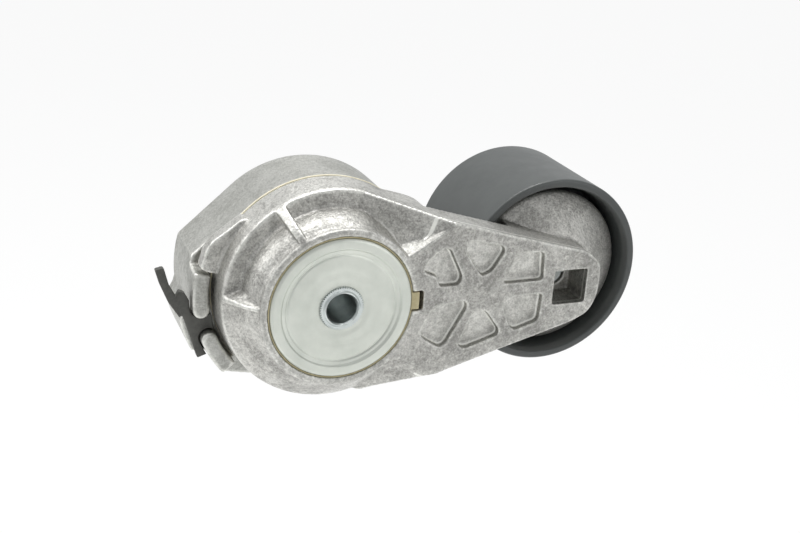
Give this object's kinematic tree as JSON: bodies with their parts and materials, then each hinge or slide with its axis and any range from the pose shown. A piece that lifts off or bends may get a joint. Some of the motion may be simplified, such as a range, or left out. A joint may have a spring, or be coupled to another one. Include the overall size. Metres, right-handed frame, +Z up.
{
  "type": "belt tensioner",
  "caption": "Sprung belt tensioner: a die-cast spring case carries a webbed swing arm with a wide flat idler pulley on a sealed ball bearing.",
  "frame": {"origin": "where the arm's pivot axis meets the plane of the engine mounting face", "axes": "+Y runs back along the pivot axis into the engine, the front plate faces -Y, +X runs from the pivot axis to the pulley axis at rest, +Z is up"},
  "size_m": [0.1796, 0.0684, 0.0784],
  "materials": {
    "cast_aluminium": "die-cast, fine sand-like grain, satin, bright on worn edges",
    "zinc_plate": "pressed steel disc, pale zinc plate, smooth satin",
    "zinc_steel": "zinc-plated turned steel",
    "bright_steel": "ground and polished bearing steel",
    "bolt_steel": "zinc-plated bolt",
    "spring_steel": "oiled dark spring steel",
    "black_steel": "stamped steel with black coating, bare grey at the finger's tip",
    "cage_steel": "pressed steel",
    "pulley_coat": "smooth dark grey coating, satin",
    "cream_nylon": "natural nylon, cream",
    "beige_nylon": "natural nylon, beige",
    "seal_rubber": "moulded nitrile, dark brown"
  },
  "bodies": {
    "case": {"spring_case": "cast_aluminium", "pivot_shaft": "zinc_steel", "front_plate": "zinc_plate", "stop_clip": "black_steel", "locating_pin": "bright_steel", "torsion_spring": "spring_steel", "damper_bushing": "cream_nylon"},
    "arm": {"tensioner_arm": "cast_aluminium", "thrust_washer": "beige_nylon", "pivot_bushing": "cream_nylon", "pulley_bolt": "bolt_steel", "bearing_washer": "zinc_steel", "bearing_inner_race": "bright_steel"},
    "pulley": {"pulley_shell": "pulley_coat", "bearing_outer_race": "bright_steel", "bearing_seal_front": "seal_rubber", "bearing_seal_rear": "seal_rubber", "retaining_ring": "spring_steel"},
    "ball_set": {"ball_cage": "cage_steel", "bearing_ball_1": "bright_steel", "bearing_ball_2": "bright_steel", "bearing_ball_3": "bright_steel", "bearing_ball_4": "bright_steel", "bearing_ball_5": "bright_steel", "bearing_ball_6": "bright_steel", "bearing_ball_7": "bright_steel", "bearing_ball_8": "bright_steel"}
  },
  "joints": [
    {"name": "arm_pivot", "type": "hinge", "parent": "case", "child": "arm", "pos_m": [0, -0.032, 0], "axis": [0, 1, 0], "range_deg": [0, 55], "stiffness_Nm_per_rad": 12, "springref_deg": -34.38},
    {"name": "pulley_spin", "type": "hinge", "parent": "arm", "child": "pulley", "pos_m": [0.08645, -0.0245, 0], "axis": [0, 1, 0], "continuous": true},
    {"name": "ball_set_spin", "type": "hinge", "parent": "arm", "child": "ball_set", "pos_m": [0.08645, -0.0245, 0], "axis": [0, 1, 0], "continuous": true}
  ],
  "couplings": [
    {"joint": "ball_set_spin", "follows": "pulley_spin", "ratio": 0.6182}
  ]
}
